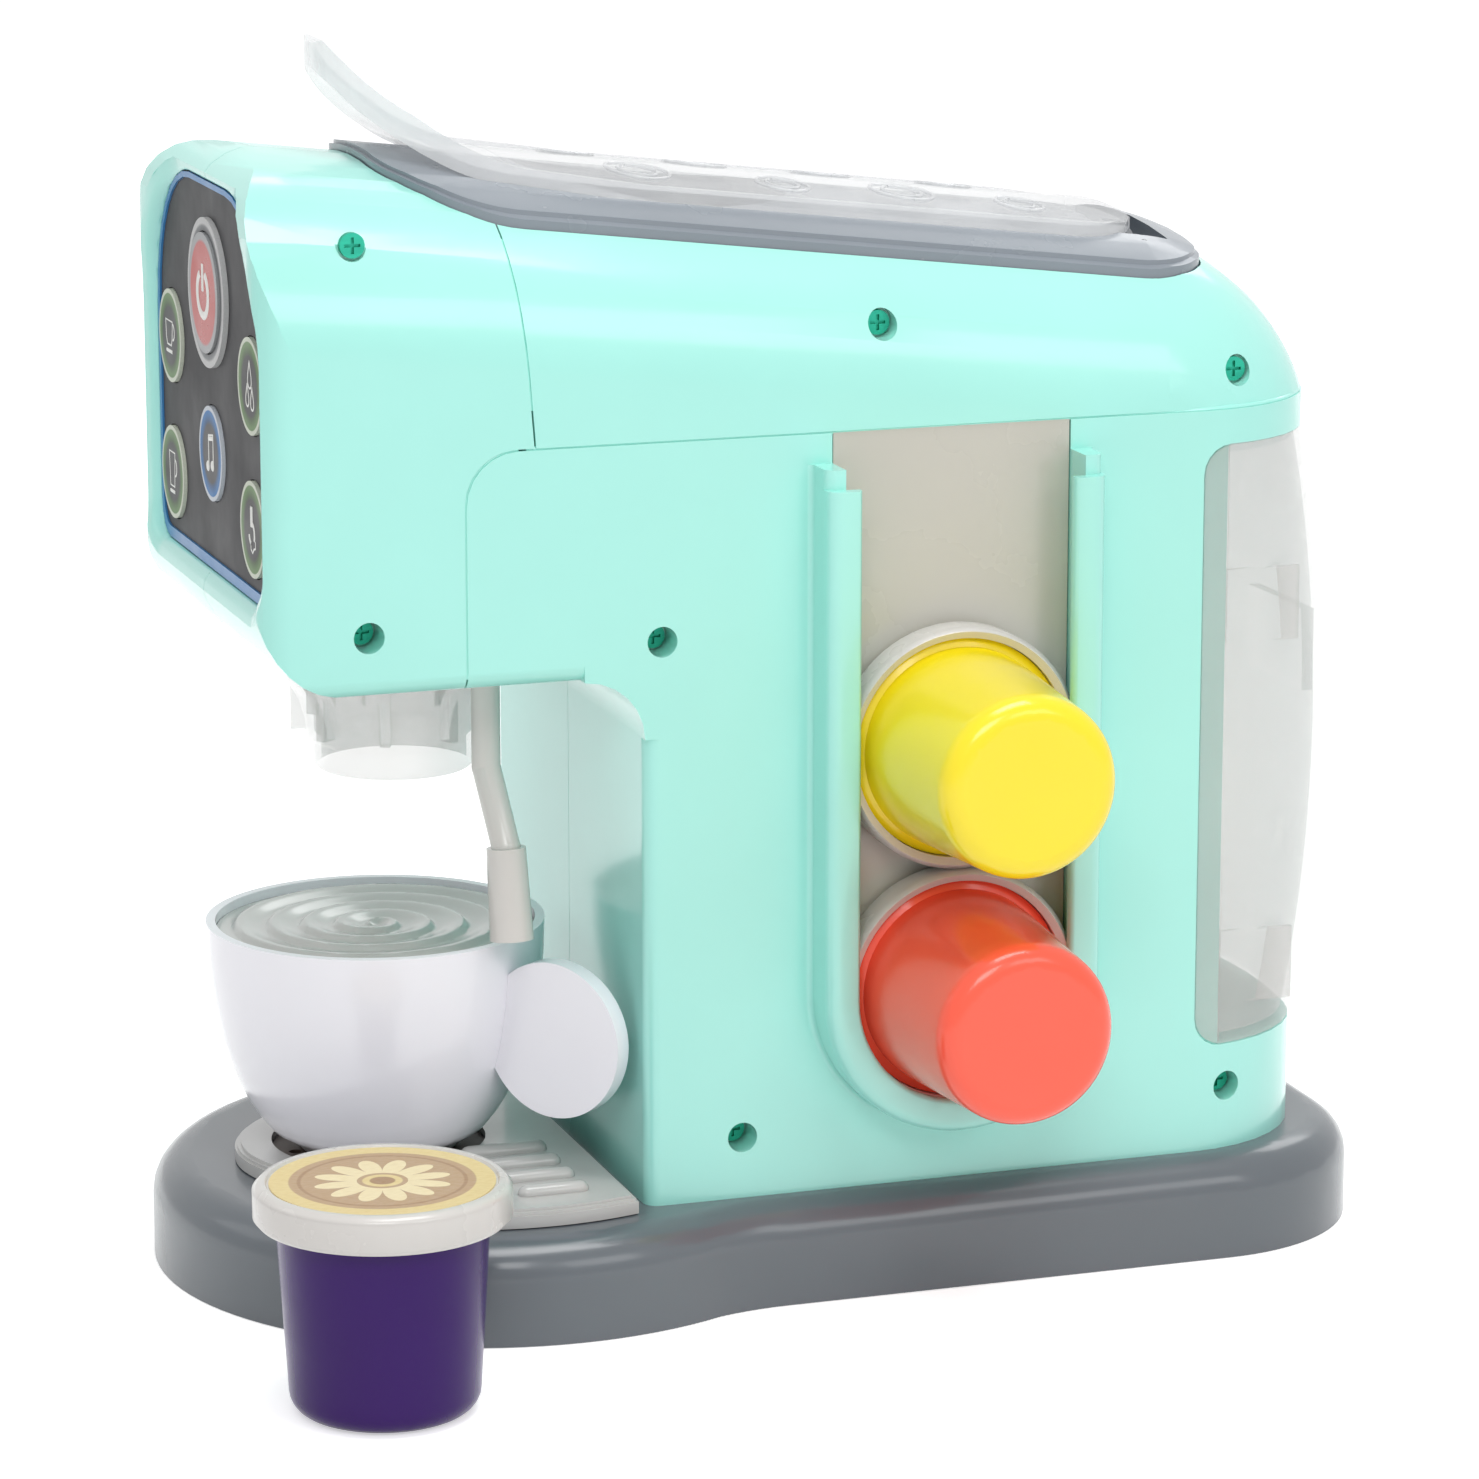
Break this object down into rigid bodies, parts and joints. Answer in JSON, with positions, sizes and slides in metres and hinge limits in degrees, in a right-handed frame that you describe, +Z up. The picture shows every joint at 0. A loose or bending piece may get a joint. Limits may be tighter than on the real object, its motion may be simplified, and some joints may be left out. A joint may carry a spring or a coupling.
{
  "type": "toy coffee maker",
  "caption": "Toy coffee maker with a lift-up lid, push buttons, swivelling steam wand, water tank, capsule rack, drip tray and a cup with a disc handle.",
  "frame": {"origin": "middle of the underside of the base", "axes": "+Z up, +X towards the side with the capsule rack, -Y towards the control panel"},
  "size_m": [0.2129, 0.2876, 0.2851],
  "materials": {
    "slate_gloss": "gloss moulded plastic",
    "slate_matte": "satin moulded plastic",
    "cell_wrap": "plain film over a steel can",
    "steel_bright": "zinc plated",
    "steel_dark": "black zinc plated",
    "black_matte": "matt",
    "pale_grey_gloss": "gloss moulded plastic",
    "brown_matte": "satin moulded plastic",
    "mint_gloss": "gloss moulded plastic",
    "clear_plastic": "clear moulded plastic",
    "panel_grey": "satin printed film",
    "blue_film": "satin printed film",
    "silver_film": "satin printed film",
    "red_gloss": "gloss printed film",
    "panel_key": "satin printed film",
    "blue_key": "satin printed film",
    "board_green": "solder mask",
    "frosted_plastic": "frosted moulded plastic",
    "stone_gloss": "gloss moulded plastic",
    "yellow_gloss": "gloss moulded plastic",
    "coral_gloss": "gloss moulded plastic",
    "purple_gloss": "gloss moulded plastic",
    "off_white_gloss": "gloss moulded plastic",
    "label_film": "printed paper label",
    "white_gloss": "gloss moulded plastic",
    "insert_grey": "gloss moulded plastic"
  },
  "bodies": {
    "machine": {"base_shell": "slate_gloss", "base_plate": "slate_matte", "battery_door": "slate_matte", "batteries": "cell_wrap", "battery_contacts": "steel_bright", "base_screws": "steel_bright", "speaker": "black_matte", "body_right": "mint_gloss", "body_left": "mint_gloss", "upper_right": "mint_gloss", "upper_left": "mint_gloss", "head_right": "mint_gloss", "head_left": "mint_gloss", "housing_screws": "steel_dark", "lid_frame": "slate_gloss", "lid_hinge_pin": "steel_bright", "capsule_chamber": "slate_matte", "control_panel": "panel_grey", "panel_trim": "blue_film", "power_ring": "silver_film", "circuit_board": "board_green", "key_switches": "black_matte", "outlet_nozzle": "frosted_plastic", "rack_plate": "stone_gloss"},
    "lid": {"clear_lid": "clear_plastic"},
    "power_key": {"power_button": "red_gloss"},
    "cup_key": {"cup_button": "panel_key"},
    "mug_key": {"mug_button": "panel_key"},
    "drops_key": {"drops_button": "panel_key"},
    "steam_key": {"steam_button": "panel_key"},
    "music_key": {"music_button": "blue_key"},
    "wand": {"wand_tube": "stone_gloss", "wand_tip": "stone_gloss"},
    "tank": {"water_tank": "frosted_plastic"},
    "tray": {"drip_tray": "pale_grey_gloss", "drip_well": "brown_matte"},
    "mug": {"cup": "white_gloss", "cup_insert": "insert_grey", "cup_handle": "white_gloss"},
    "coral_pod": {"coral_capsule": "coral_gloss", "coral_lid": "off_white_gloss"},
    "yellow_pod": {"yellow_capsule": "yellow_gloss", "yellow_lid": "off_white_gloss"},
    "purple_pod": {"purple_capsule": "purple_gloss", "purple_lid": "off_white_gloss", "purple_label": "label_film"}
  },
  "joints": [
    {"name": "lid_lift", "type": "hinge", "parent": "machine", "child": "lid", "pos_m": [0, 0.086, 0.23386], "axis": [-1, 0, 0], "range_deg": [0, 70]},
    {"name": "power_press", "type": "slide", "parent": "machine", "child": "power_key", "axis": [0, 1, 0], "range_m": [0, 0.0008], "stiffness_N_per_m": 600},
    {"name": "cup_press", "type": "slide", "parent": "machine", "child": "cup_key", "axis": [0, 1, 0], "range_m": [0, 0.0008], "stiffness_N_per_m": 500},
    {"name": "mug_press", "type": "slide", "parent": "machine", "child": "mug_key", "axis": [0, 1, 0], "range_m": [0, 0.0008], "stiffness_N_per_m": 500},
    {"name": "drops_press", "type": "slide", "parent": "machine", "child": "drops_key", "axis": [0, 1, 0], "range_m": [0, 0.0008], "stiffness_N_per_m": 500},
    {"name": "steam_press", "type": "slide", "parent": "machine", "child": "steam_key", "axis": [0, 1, 0], "range_m": [0, 0.0008], "stiffness_N_per_m": 500},
    {"name": "music_press", "type": "slide", "parent": "machine", "child": "music_key", "axis": [0, 1, 0], "range_m": [0, 0.0008], "stiffness_N_per_m": 500},
    {"name": "wand_swivel", "type": "hinge", "parent": "machine", "child": "wand", "pos_m": [0.03, -0.0716, 0.15], "axis": [0, 0, 1], "range_deg": [-60, 8]},
    {"name": "tank_pull", "type": "slide", "parent": "machine", "child": "tank", "axis": [0, 1, 0], "range_m": [0, 0.04]},
    {"name": "tray_lift", "type": "slide", "parent": "machine", "child": "tray", "axis": [0, 0, 1], "range_m": [0, 0.006]},
    {"name": "cup_lift", "type": "slide", "parent": "tray", "child": "mug", "axis": [0, 0, 1], "range_m": [0, 0.012]},
    {"name": "coral_slide", "type": "slide", "parent": "machine", "child": "coral_pod", "axis": [0, 0, 1], "range_m": [0, 0.06]},
    {"name": "yellow_slide", "type": "slide", "parent": "machine", "child": "yellow_pod", "axis": [0, 0, 1], "range_m": [0, 0.06]},
    {"name": "purple_lift", "type": "slide", "parent": "machine", "child": "purple_pod", "axis": [0, 0, 1], "range_m": [0, 0.03]}
  ],
  "couplings": [
    {"joint": "yellow_slide", "follows": "coral_slide", "ratio": 1}
  ]
}
